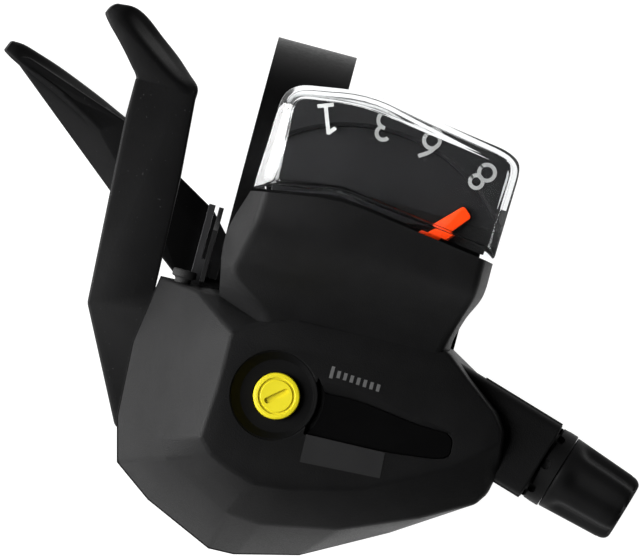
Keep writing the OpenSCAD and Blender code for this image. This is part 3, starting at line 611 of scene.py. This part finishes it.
def boss_form(grow):
    """The boss's own shape, as the hole that it needs in the top cover."""
    half_w, half_h, cut, start = BOSS_HALF_W + grow, BOSS_HALF_H + grow, 0.82, 21
    outline = [Vector(p) for p in (
        (half_w, half_h - cut), (half_w - cut, half_h), (cut - half_w, half_h),
        (-half_w, half_h - cut), (-half_w, cut - half_h), (cut - half_w, -half_h),
        (half_w - cut, -half_h), (half_w, cut - half_h))]
    return along_cable(prism("boss_space", outline, 0, BOSS_END - start), start)


def cable_boss():
    """The boss's rounded outside, which runs on under the edge of the pod."""
    half_w, half_h = BOSS_HALF_W + 0.07, BOSS_HALF_H + 0.07
    corners = flat([(half_h, -half_w), (half_h, half_w), (-half_h, half_w), (-half_h, -half_w)])
    outline = round_off(corners, 1.5, 6)
    end = BOSS_END - BOSS_START
    edge = [(0.02, 0.2), (0.08, 0.08), (0.2, 0)]
    boss = solid("cable_boss", [
        raised(outline, 0), raised(outline, end - 0.3),
        *(raised(inset(outline, inwards), end - back) for inwards, back in edge)])
    bore = lathe("bore", [(0, -1), (4.3, -1), (4.3, end + 1), (0, end + 1)], (0, 0))
    combine(boss, bore, "DIFFERENCE")
    keyways = prism("keyways", oblong(KEY_W + 0.1, KEY_REACH + 0.1), end - 6, end + 1)
    combine(boss, keyways, "DIFFERENCE")
    along_cable(boss, BOSS_START)
    return place(boss, "housing_plastic", "housing", edge_deg=50)


# ---------- dial window ----------

WINDOW_BASE = flat([
    (3.2, 5.3), (-7.3, 3.5), (-27.7, 6.2), (-28, -4.8), (-27.6, -6.3), (-25.8, -7.2),
    (-7.3, -9.8), (0.7, -8.5), (2.1, -7.5), (2.7, -6.1)])
WINDOW_RIM = flat([
    (0.7, 4.1), (-7.3, 2.5), (-26.2, 5), (-26.8, -4.3), (-26.5, -5.1), (-25.4, -5.6),
    (-7.3, -8.2), (-0.2, -7.3), (0.8, -6.8), (1.2, -5.8)])
WINDOW_CORNERS = [0.5, 2, 0.5, 1.2, 1.2, 1.2, 3, 1.2, 1.2, 1.2]
WINDOW_FOOT = 15.9
WINDOW_EDGE = 18.9
RIDGE_X, RIDGE_Z = -7.3, 21.52


def window_top(x, y):
    """Height of the window's top, which falls away on both sides of a ridge."""
    return RIDGE_Z - (0.13 if x > RIDGE_X else 0.085) * abs(x - RIDGE_X)


def window_form(name, shrink, drop, foot, bevel):
    """The window as a solid, or the space inside it when it is shrunk and dropped."""
    base = round_off(inset(WINDOW_BASE, shrink), WINDOW_CORNERS)
    rim = round_off(inset(WINDOW_RIM, shrink * 0.3), WINDOW_CORNERS)
    top = raised(rim, lambda x, y: window_top(x, y) - drop)
    return solid(name, [raised(base, foot), raised(base, WINDOW_EDGE - drop * 0.4), top], bevel)


def display_window():
    """The clear window, a hollow shell that is open underneath and at the back."""
    window = window_form("window_shell", shrink=0, drop=0, foot=WINDOW_FOOT, bevel=0.22)
    space = window_form("space", shrink=1.1, drop=1.1, foot=WINDOW_FOOT - 1, bevel=0.15)
    combine(window, space, "DIFFERENCE")
    rear = prism("rear", flat([(1, 0), (1, 9), (-29, 9), (-29, 0)]), WINDOW_FOOT - 1, WINDOW_EDGE)
    combine(window, rear, "DIFFERENCE")
    place(window, "clear_window", "housing", "display_window")
    window.visible_shadow = False
    return window


def dial_plate():
    """The dark dial, with a raised step outside the round well that the needle sweeps."""
    outline = round_off(inset(WINDOW_BASE, 1.3), [c * 0.8 for c in WINDOW_CORNERS])
    plate = prism("dial_face", outline, WINDOW_FOOT, WINDOW_FOOT + 0.5)
    step = prism("step", outline, WINDOW_FOOT, WINDOW_FOOT + 2)
    well = [(0, 10), (19.6, 10), (20.05, WINDOW_FOOT + 0.6), (20.25, WINDOW_FOOT + 1.6),
            (20.7, WINDOW_FOOT + 2.05), (20.7, 30), (0, 30)]
    combine(step, lathe("well", well, NEEDLE_PIVOT, 160), "DIFFERENCE")
    combine(plate, step, "UNION")
    rear = prism("rear", flat([(20, 2.6), (20, 20), (-40, 20), (-40, 2.6)]), 10, 20)
    combine(plate, rear, "DIFFERENCE")
    return place(plate, "dial_plastic", "housing", "dial_plate")


# ---------- numerals ----------

def arc(centre, radius, start_deg, end_deg, steps=20):
    return [Vector((centre[0] + radius * math.cos(math.radians(a)),
                    centre[1] + radius * math.sin(math.radians(a))))
            for a in (start_deg + (end_deg - start_deg) * k / steps for k in range(steps + 1))]


NUMERALS = {
    "1": [flat([(-1, 0.05), (1, 0.05)]), flat([(0, 0.05), (0, 3.6)]),
          flat([(0.1, 3.5), (-0.95, 2.9)])],
    "3": [arc((0, 2.62), 0.8, 150, -80), arc((0, 0.98), 0.98, 95, -150)],
    "6": [arc((0, 1), 0.98, 0, 360, 32), spline(flat([(-0.9, 1.2), (-0.45, 2.4), (0.5, 3.5)]), 6)],
    "8": [arc((0, 2.68), 0.78, 0, 360, 28), arc((0, 0.98), 0.98, 0, 360, 32)],
}
STROKE_W = 0.48
NUMERAL_PLACES = {
    "1": (-3.45, -5.2), "3": (-10.45, -6.2), "6": (-16.3, -5.3), "8": (-23.6, -3.3)}


def stroke(bm, path, width, thick):
    """A flat band of constant width along a path."""
    rows = []
    for i, p in enumerate(path):
        ahead = path[min(i + 1, len(path) - 1)] - path[max(i - 1, 0)]
        if (path[0] - path[-1]).length < 0.001 and i in (0, len(path) - 1):
            ahead = path[1] - path[-2]
        side = Vector((-ahead.y, ahead.x)).normalized() * width / 2
        a, b = p + side, p - side
        rows.append([Vector(q) for q in ((*a, 0), (*a, thick), (*b, thick), (*b, 0))])
    ring = skin(bm, rows)
    bm.faces.new(ring[0])
    bm.faces.new(reversed(ring[-1]))


def numeral(digit):
    """A printed numeral on the dial, upright as seen from the needle's shaft."""
    bm = bmesh.new()
    # Strokes differ in thickness, so that their tops don't coincide where they cross
    for k, path in enumerate(NUMERALS[digit]):
        stroke(bm, path, STROKE_W, 0.05 - 0.004 * k)
    obj = finish_mesh("numeral_" + digit, bm)
    spot = Vector(NUMERAL_PLACES[digit])
    up = (NEEDLE_PIVOT.xy - spot).normalized()
    turn = Matrix.Rotation(math.atan2(-up.x, up.y), 4, "Z")
    half_height = Vector((0, 1.75, 0))
    dial_top = box_mm("dial_plate")[1].z
    obj.data.transform(
        Matrix.Translation((*spot, dial_top + 0.01)) @ turn @ Matrix.Translation(-half_height))
    # The numerals other than 1 take the white print darkened, as painted shade
    return place(obj, "white_plastic", "housing",
                 finish=PRINT_WHITE if digit == "1" else PRINT_WHITE_PAINTED_SHADE)


# ---------- cap, insert and print on the pod ----------

def axle_cap():
    """The yellow cap, with a ring groove and a screwdriver slot in its face."""
    low, high = CAP_LOW.z, CAP_HIGH.z
    cap = lathe("cap_button", [
        (0, low + 0.8), (2.3, low + 0.8), (2.3, low), (2.75, low), (2.9, low + 0.15),
        (2.9, high - 0.25), (2.8, high - 0.05), (2.6, high), (2.32, high), (2.26, high - 0.06),
        (2.24, high - 0.24), (2.02, high - 0.24), (2, high - 0.06), (1.94, high), (0, high)],
        PIVOT)
    slot = round_off(flat([(1.6, 0.38), (-1.6, 0.38), (-1.6, -0.38), (1.6, -0.38)]), 0.35, 5)
    cut = prism("slot", slot, high - 0.42, high + 1)
    cut.data.transform(Matrix.Translation((PIVOT.x, PIVOT.y, 0)) @ Matrix.Rotation(0.7, 4, "Z"))
    combine(cap, cut, "DIFFERENCE")
    return place(cap, "yellow_plastic", "housing", "axle_cap")


def trim_insert():
    """The glossy insert, cut back where the round recess begins."""
    insert = pocket_form("tail_insert", grow=-0.05, drop=1.05, height=0.55, bevel=0.12)
    ring = lathe("ring", [(0, 0), (5.9, 0), (5.9, 30), (0, 30)], PIVOT)
    combine(insert, ring, "DIFFERENCE")
    return place(insert, "gloss_trim", "housing", "trim_insert")


def recess_painted_shade():
    """A black dish round the cap, darker than the housing to paint shade into the recess, trimmed just below the
    pod's top face.
    """
    low = CAP_LOW.z
    dish = lathe("recess_painted_shade", [
        (3.05, low + 0.02), (4.53, low + 0.02), (4.73, low + 0.14), (5.52, low + 1.11),
        (5.71, low + 1.51), (5.64, low + 1.55), (5.44, low + 1.17), (4.67, low + 0.24),
        (4.5, low + 0.12), (3.05, low + 0.12)], PIVOT)
    sheet = flat([(-15, 20), (3, 20), (3, 40), (-15, 40)])
    combine(dish, tilt_to_top(prism("above", sheet, -0.15, 6)), "DIFFERENCE")
    return place(dish, "gloss_trim", "housing", finish=DISH_PAINTED_SHADE)


def label():
    """The plain grey field beside the insert, with nothing printed on it."""
    corners = flat([(-11, 32.9), (-11.1, 36.4), (-21.2, 35.8), (-21, 32.6)])
    piece = tilt_to_top(prism("plain_label", corners, -0.02, 0.04))
    return place(piece, "adjuster_plastic", "housing", finish=LABEL_GREY)


GEARS = 8


def speed_ticks():
    """A row of eight printed bars, one for each gear."""
    bm = bmesh.new()
    start, end = Vector((-12.1, 24.7)), Vector((-18.1, 25.1))
    for k in range(GEARS):
        spot = start.lerp(end, k / (GEARS - 1))
        half = Vector((0, 1.5 if k == 0 else 0.9)) / 2
        stroke(bm, [spot - half, spot + half], width=0.42, thick=0.03)
    return place(tilt_to_top(finish_mesh("gear_ticks", bm)), "white_plastic", "housing",
                 finish=PRINT_GREY)


# ---------- levers ----------

def pad(rails, low):
    """A thumb pad: rails from root to tip across its top, with leaning sides down to low."""
    lines = [spline(flat(rail), 5) for rail in rails]
    rings = []
    for points in zip(*lines):
        points = list(points)
        reach = (points[0] - points[-1]).normalized() * 0.35
        under = [Vector((p.x, p.y, low)) for p in (points[-1] + reach, points[0] - reach)]
        rings.append(round_off([*points, *under], PAD_ROUNDING, 3))
    tip = rings[-1]
    centre = sum(tip, Vector()) / len(tip)
    ahead = (centre - sum(rings[-3], Vector()) / len(tip)).normalized() * 0.22
    rings.append([p.lerp(centre, 0.22) + ahead for p in tip])
    return solid("pad", rings)


RELEASE_ARM = flat([
    (-9, 23.4), (3.5, 21.5), (11.8, 20.5), (12.3, 6.3), (13.1, -4.2), (14.4, -4.1), (20.9, -4.3),
    (20.9, 1), (19.5, 24.3), (12.3, 38.1), (10.9, 38.7), (2, 36.5), (-9, 36.5)])
RELEASE_LOW, RELEASE_HIGH = -15.5, -12.5
RELEASE_PAD = [
    [(20.6, -2.4, -12.52), (20.9, -4.3, -12.5), (21.9, -5.6, -12.5), (23.1, -7, -12.5),
     (24.5, -8.5, -12.55), (25.6, -9.6, -12.6), (26.3, -10.4, -12.7), (26.6, -10.8, -12.9)],
    [(15.2, -2.4, -12.52), (14.6, -4.2, -12.45), (17, -5.9, -12.3), (19.4, -7.6, -12.2),
     (21.8, -9.3, -12.2), (23.7, -10.7, -12.3), (25.1, -11.6, -12.5), (26.2, -11.8, -12.8)],
    [(14.2, -2.8, -12.6), (13.8, -4.7, -12.8), (15.6, -6.2, -14), (17.8, -8, -15.2),
     (20.2, -9.8, -15.2), (22.4, -11.4, -14.1), (24.1, -12.2, -12.9), (25.8, -12.3, -12.9)],
    [(13, -3.2, -12.7), (13.1, -5, -13), (14.5, -6.4, -14.9), (16.5, -8.2, -16.3),
     (18.9, -10, -16.3), (21.4, -11.9, -15), (23.3, -12.7, -13.4), (25.4, -12.6, -13.1)],
]
PULL_ARM = flat([
    (-9, 22.4), (-2, 20), (3.4, 13.5), (7.4, 9.1), (12.3, 6.3), (20.9, 1.2), (34.4, -3.3),
    (36.6, -3), (20.5, 10.1), (11.9, 16.6), (10.2, 17.9), (6, 24), (2, 34), (-9, 36.5)])
PULL_LOW, PULL_HIGH = -23, -20
PULL_PAD = [
    [(22.9, 4.3, -20.1), (24.7, 3.2, -20.02), (27, 2, -20), (29.8, 0.6, -20),
     (32.6, -0.7, -20), (35, -1.8, -20), (36.6, -2.6, -20.1), (37.6, -3.2, -20.3)],
    [(22.3, 3.2, -20), (24.1, 2.2, -19.8), (26.4, 1, -19.65), (29.3, -0.4, -19.6),
     (32.2, -1.5, -19.6), (34.7, -2.4, -19.7), (36.3, -3, -19.9), (37.4, -3.5, -20.2)],
    [(21.4, 2, -20.4), (23, 1.2, -21.5), (25.3, 0.1, -22.6), (28.1, -1.2, -22.9),
     (31.3, -2.4, -22.4), (34, -3.3, -21.2), (35.9, -3.9, -20.4), (37.2, -4.2, -20.4)],
    [(20.4, 1, -20.7), (22, 0.3, -22.5), (24.2, -0.7, -24), (27.1, -1.9, -24.3),
     (30.5, -3.2, -23.5), (33.3, -4.1, -22), (35.4, -4.7, -21), (36.9, -4.8, -20.8)],
]
PAD_ROUNDING = [0.45, 1.1, 0.4, 0.5, 0.5, 0.5]
SLEEVE_R = 4.4
HUB_R = 8
CAM_LOW_R = 8.9
CAM_RISE = 1.2


def drum(name, radius, low, high):
    """An upright cylinder round the main axle."""
    return lathe(name, [(0, low), (radius, low), (radius, high), (0, high)], PIVOT)


def pull_flank():
    """A wedge that cuts the pull lever's outer edge to a slope, which fades out at both ends."""
    outer = flat([(38.6, -3.8), (20.5, 10.1), (13, 15.8)])
    inner = flat([(37.2, -3.2), (22.6, 4.6), (13.6, 13.4)])
    outwards = Vector((0.608, 0.794, 0)) * 2
    full_width, full_drop = 3, 2.7
    rings = []
    for low, high in zip(outer, inner):
        drop = min(1, (high - low).length / full_width) * full_drop
        foot, top = raised([low], PULL_HIGH - drop)[0], raised([high], PULL_HIGH)[0]
        slope = (top - foot) * 0.5
        rings.append([foot - slope + outwards, foot - slope, top + slope,
                      top + slope + outwards * 4])
    return solid("flank", rings)


def release_cam():
    """The cam that pushes the holding pawl's arm outwards as the lever turns."""
    def at(radius, bearing):
        a = math.radians(bearing)
        return Vector((PIVOT.x + radius * math.cos(a), PIVOT.y + radius * math.sin(a)))

    # Low as far round as bearing 118, and then up by CAM_RISE over 18 degrees
    inner = [at(6.9, b) for b in range(91, 130, 4)]
    outer = [at(CAM_LOW_R, b) for b in range(129, 118, -3)]
    rise = [at(CAM_LOW_R + CAM_RISE * min(1, (118 - b) / 18), b) for b in range(117, 90, -3)]
    return prism("cam", [*inner, *outer, *rise], RELEASE_HIGH - 0.23, RELEASE_HIGH + 1.95)


def release_lever():
    """The upper lever: arm, thumb pad and hub, with a spacer on the sleeve and the cam."""
    lever = prism("release_paddle", RELEASE_ARM, RELEASE_LOW, RELEASE_HIGH, 0.32)
    combine(lever, pad(RELEASE_PAD, RELEASE_LOW - 4), "UNION")
    low, high = RELEASE_LOW - 0.01, RELEASE_HIGH + 0.01
    spacer_r, foot, head = 5.1, PULL_HIGH + 0.15, PULL_HIGH + 9.95
    hub = lathe("hub", [
        (0, foot), (spacer_r, foot), (spacer_r, low), (HUB_R, low),
        (HUB_R, high), (spacer_r, high), (spacer_r, head), (0, head)], PIVOT)
    combine(hub, release_cam(), "UNION")
    combine(lever, hub, "UNION")
    combine(lever, drum("bore", SLEEVE_R + 0.05, -30, 0), "DIFFERENCE")
    return place(lever, "lever_finish", "release_lever", "release_lever", edge_deg=40)


def pull_lever():
    """The lower lever: arm, thumb pad and hub, bored to sit tight on its sleeve."""
    lever = prism("pull_paddle", PULL_ARM, PULL_LOW, PULL_HIGH, 0.32)
    combine(lever, pull_flank(), "DIFFERENCE")
    combine(lever, pad(PULL_PAD, PULL_LOW - 4.5), "UNION")
    combine(lever, drum("hub", HUB_R, PULL_LOW - 0.01, PULL_HIGH + 0.01), "UNION")
    combine(lever, drum("bore", SLEEVE_R, -30, -15), "DIFFERENCE")
    return place(lever, "lever_finish", "pull_lever", "pull_lever", edge_deg=40)


# ---------- barrel adjuster ----------

KNOB_START = 34.6
KNOB_LENGTH = 9.5
KNOB_R = 4.8
KNOB_TAPER = 0.055
FLUTES = 6
FLUTE_DEPTH = 0.7
NOTCHES = 8
SHANK_R = 3.5
SOCKET_R = 2.55
SOCKET_DEPTH = 7


def smooth(value, start, end):
    """Rises gently from 0 at start to 1 at end."""
    t = min(1, max(0, (value - start) / (end - start)))
    return t * t * (3 - 2 * t)


def fluted(name, profile, flutes, depth_at):
    """Turns a closed profile of (radius, height), with flutes cut as deep as depth_at says."""
    bm = bmesh.new()
    rows = []
    around = 180
    for i in range(around):
        a = 2 * math.pi * i / around
        groove = (0.5 + 0.5 * math.cos(flutes * a)) ** 1.4
        row = [(r - depth_at(r, z) * groove, z) for r, z in profile]
        rows.append([bm.verts.new((r * math.cos(a), r * math.sin(a), z)) for r, z in row])
    for i, row in enumerate(rows):
        after = rows[(i + 1) % around]
        for k in range(len(profile)):
            m = (k + 1) % len(profile)
            bm.faces.new((row[k], after[k], after[m], row[m]))
    return finish_mesh(name, bm)


def barrel_adjuster():
    """The tapered knob, its rounded tip and cable socket, and the threaded shank below."""
    length = KNOB_LENGTH
    levels = (0.12, 0.5, 0.9, 1.2, 1.5, 1.8, 2.1, 2.5, 3, 4, 5, 6, 7, 8)
    outer = [(KNOB_R - KNOB_TAPER * z, z) for z in levels]
    tip_r = outer[-1][0]
    tip = [(tip_r - 0.9 * (1 - math.cos(a)) - 0.05, 8.2 + 1.27 * math.sin(a))
           for a in (math.pi / 2 * k / 6 for k in range(7))]
    thread = []
    for k in range(12):
        z = -11.4 + 0.8 * k
        thread += [(SHANK_R - 0.35, z), (SHANK_R, z + 0.3),
                   (SHANK_R, z + 0.42), (SHANK_R - 0.35, z + 0.72)]
    profile = [
        (0.9, -11.6), *thread, (SHANK_R, -1.6), (SHANK_R, 0), (4.7, 0), *outer, *tip,
        (SOCKET_R + 0.35, length - 0.03), (SOCKET_R, length - 0.3),
        (SOCKET_R, length - SOCKET_DEPTH), (0.9, length - SOCKET_DEPTH)]

    def depth(r, z):
        return FLUTE_DEPTH * smooth(r, SHANK_R + 0.2, 4.1) * smooth(z, 0.5, 2.6)

    knob = fluted("adjuster_knob", profile, FLUTES, depth)
    along_cable(knob, KNOB_START)
    return place(knob, "adjuster_plastic", "adjuster", "barrel_adjuster", edge_deg=50)


def detent_ring():
    """The notched collar between boss and knob, keyed into the boss's keyways."""
    start = BOSS_END + 0.3
    length = KNOB_START - 0.07 - start
    ring = lathe("detent_collar", [
        (SHANK_R + 0.08, -4.4), (4.2, -4.4), (4.2, 0), (4.75, 0), (4.95, 0.2),
        (4.95, length - 0.1), (4.85, length), (SHANK_R + 0.08, length)], (0, 0), 120)
    for k in range(NOTCHES):
        a = 2 * math.pi * k / NOTCHES
        notch = lathe("notch", [(0, -1), (0.7, -1), (0.7, 0.55), (0.5, 0.85), (0, 0.95)],
                      (5.1 * math.cos(a), 5.1 * math.sin(a)), 20)
        combine(ring, notch, "DIFFERENCE")
    keys = prism("keys", oblong(KEY_W, KEY_REACH), -4.4, 0.02)
    combine(keys, lathe("core", [(0, -9), (SHANK_R + 0.1, -9), (SHANK_R + 0.1, 9), (0, 9)],
                        (0, 0), 120), "DIFFERENCE")
    combine(ring, keys, "UNION")
    along_cable(ring, start)
    return place(ring, "adjuster_plastic", "detent_ring", "detent_ring")


# ---------- needle ----------

NEEDLE_REST_DEG = -132.2


def needle():
    """A cranked pointer: its outline from the side, cut to its outline from above."""
    blade_low = box_mm("dial_plate")[1].z - 1
    blade_high = blade_low + 0.8
    side = flat([
        (-1.8, 7.9), (1.3, 7.9), (4.4, 12.75), (8, 15.35), (11.5, blade_low), (18.6, blade_low),
        (18.6, blade_high), (11.2, blade_high), (7.6, 15.8), (4.1, 13.3), (0.95, 9.05),
        (-1.8, 9.05)])
    plan = round_off(flat([
        (-1.7, -1.2), (2, -1.65), (10, -1.2), (17.9, -0.85), (17.9, 0.85), (10, 1.2), (2, 1.65),
        (-1.7, 1.2)]), [0.8, 0.3, 0.5, 0.45, 0.45, 0.5, 0.3, 0.8], 3)
    blade = prism("needle_blade", side, -3, 3)
    blade.data.transform(Matrix.Rotation(math.radians(90), 4, "X"))
    combine(blade, prism("plan", plan, 0, 30), "INTERSECT")
    bevel = blade.modifiers.new("bevel", "BEVEL")
    bevel.width, bevel.segments, bevel.limit_method = 0.14, 2, "ANGLE"
    bevel.angle_limit = math.radians(40)
    bore = lathe("bore", [(0, 5), (1, 5), (1, 15), (0, 15)], (0, 0), 40)
    combine(blade, bore, "DIFFERENCE")
    blade.data.transform(
        Matrix.Translation((NEEDLE_PIVOT.x, NEEDLE_PIVOT.y, 0))
        @ Matrix.Rotation(math.radians(NEEDLE_REST_DEG), 4, "Z"))
    return place(blade, "needle_plastic", "pointer", "needle")


# ---------- assembly ----------

def soften(obj, width_mm):
    """Rounds a piece's sharp edges with modifiers, which leave its mesh as it is."""
    weld = obj.modifiers.new("weld", "WELD")
    weld.merge_threshold = 0.002 * MM
    planar = obj.modifiers.new("planar", "DECIMATE")
    planar.decimate_type = "DISSOLVE"
    planar.angle_limit = math.radians(0.4)
    bevel = obj.modifiers.new("bevel", "BEVEL")
    bevel.width = width_mm * MM
    bevel.segments = 2
    bevel.limit_method = "ANGLE"
    bevel.angle_limit = math.radians(35)
    bevel.use_clamp_overlap = True
    obj.modifiers.new("shade", "WEIGHTED_NORMAL").keep_sharp = False


for make in (top_cover, cable_boss, display_window, dial_plate, axle_cap, trim_insert, recess_painted_shade,
             label, speed_ticks, release_lever, pull_lever, barrel_adjuster, detent_ring, needle):
    make()
for digit in NUMERALS:
    numeral(digit)

SLOTS = {part["node"]: part["material_slot"] for part in frame["record"]["subparts"]}
EDGE_MM = {
    "clamp_band": 0.55, "main_housing": 0.5, "bottom_cover": 0.5, "port_plug": 0.2,
    "base_plate": 0.15, "cable_spool": 0.2, "ratchet_wheel": 0.1, "needle_gear": 0.08,
    "idler_gear": 0.08, "indicator_drive_gear": 0.08}
OTHER_EDGES_MM = 0.12
for name, node in nodes.items():
    node.data.materials.clear()
    node.data.materials.append(MATERIALS[SLOTS[name]])
    soften(node, EDGE_MM.get(name, OTHER_EDGES_MM))
